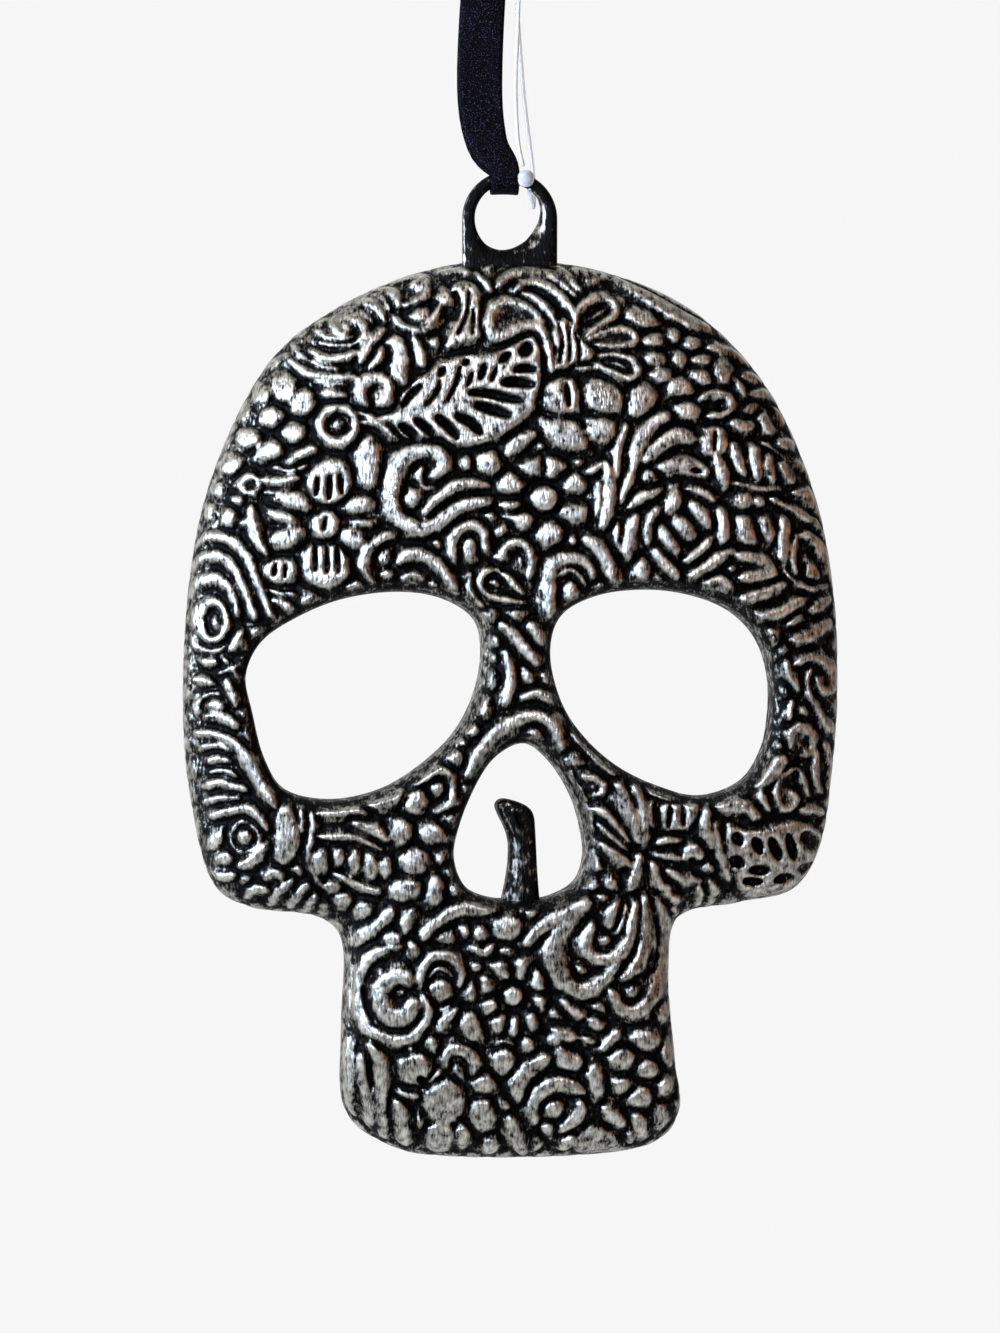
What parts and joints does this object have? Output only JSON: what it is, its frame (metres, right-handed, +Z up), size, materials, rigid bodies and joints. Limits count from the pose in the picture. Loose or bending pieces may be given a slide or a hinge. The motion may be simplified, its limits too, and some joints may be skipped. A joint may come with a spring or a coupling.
{
  "type": "sugar skull ornament",
  "caption": "Flat hollow-backed sugar skull casting with folk relief, open eyes and nose and a hanging ring, on a knotted satin ribbon loop with a nylon tag fastener.",
  "frame": {"origin": "the hook point, where a hook or nail holds the top of the ribbon loop under its knot", "axes": "+X to the viewer's right, +Y from the relief towards the hollow back, +Z up along the ribbon"},
  "size_m": [0.0918, 0.0127, 0.2272],
  "materials": {
    "antiqued_casting": "cast, blackened in its recesses",
    "burnished_relief": "cast, brushed bright on its high parts",
    "dark_ring": "smooth, blackened, rubbed bright on its edges",
    "black_satin": "satin weave",
    "clear_nylon": "clear, slightly milky"
  },
  "bodies": {
    "hanger": {"ribbon_loop": "black_satin", "ribbon_knot": "black_satin", "tag_loop": "clear_nylon", "tag_lock": "clear_nylon"},
    "skull": {"skull_plate": "antiqued_casting", "nose_bone": "antiqued_casting", "hanging_ring": "dark_ring", "forehead_relief": "burnished_relief", "brow_bridge_relief": "burnished_relief", "left_cheek_relief": "burnished_relief", "right_cheek_relief": "burnished_relief", "jaw_relief": "burnished_relief"}
  },
  "joints": [
    {"name": "ring_swing", "type": "hinge", "parent": "hanger", "child": "skull", "pos_m": [-0.0006, 0, -0.071], "axis": [1, 0, 0], "range_deg": [-90, 90]}
  ]
}
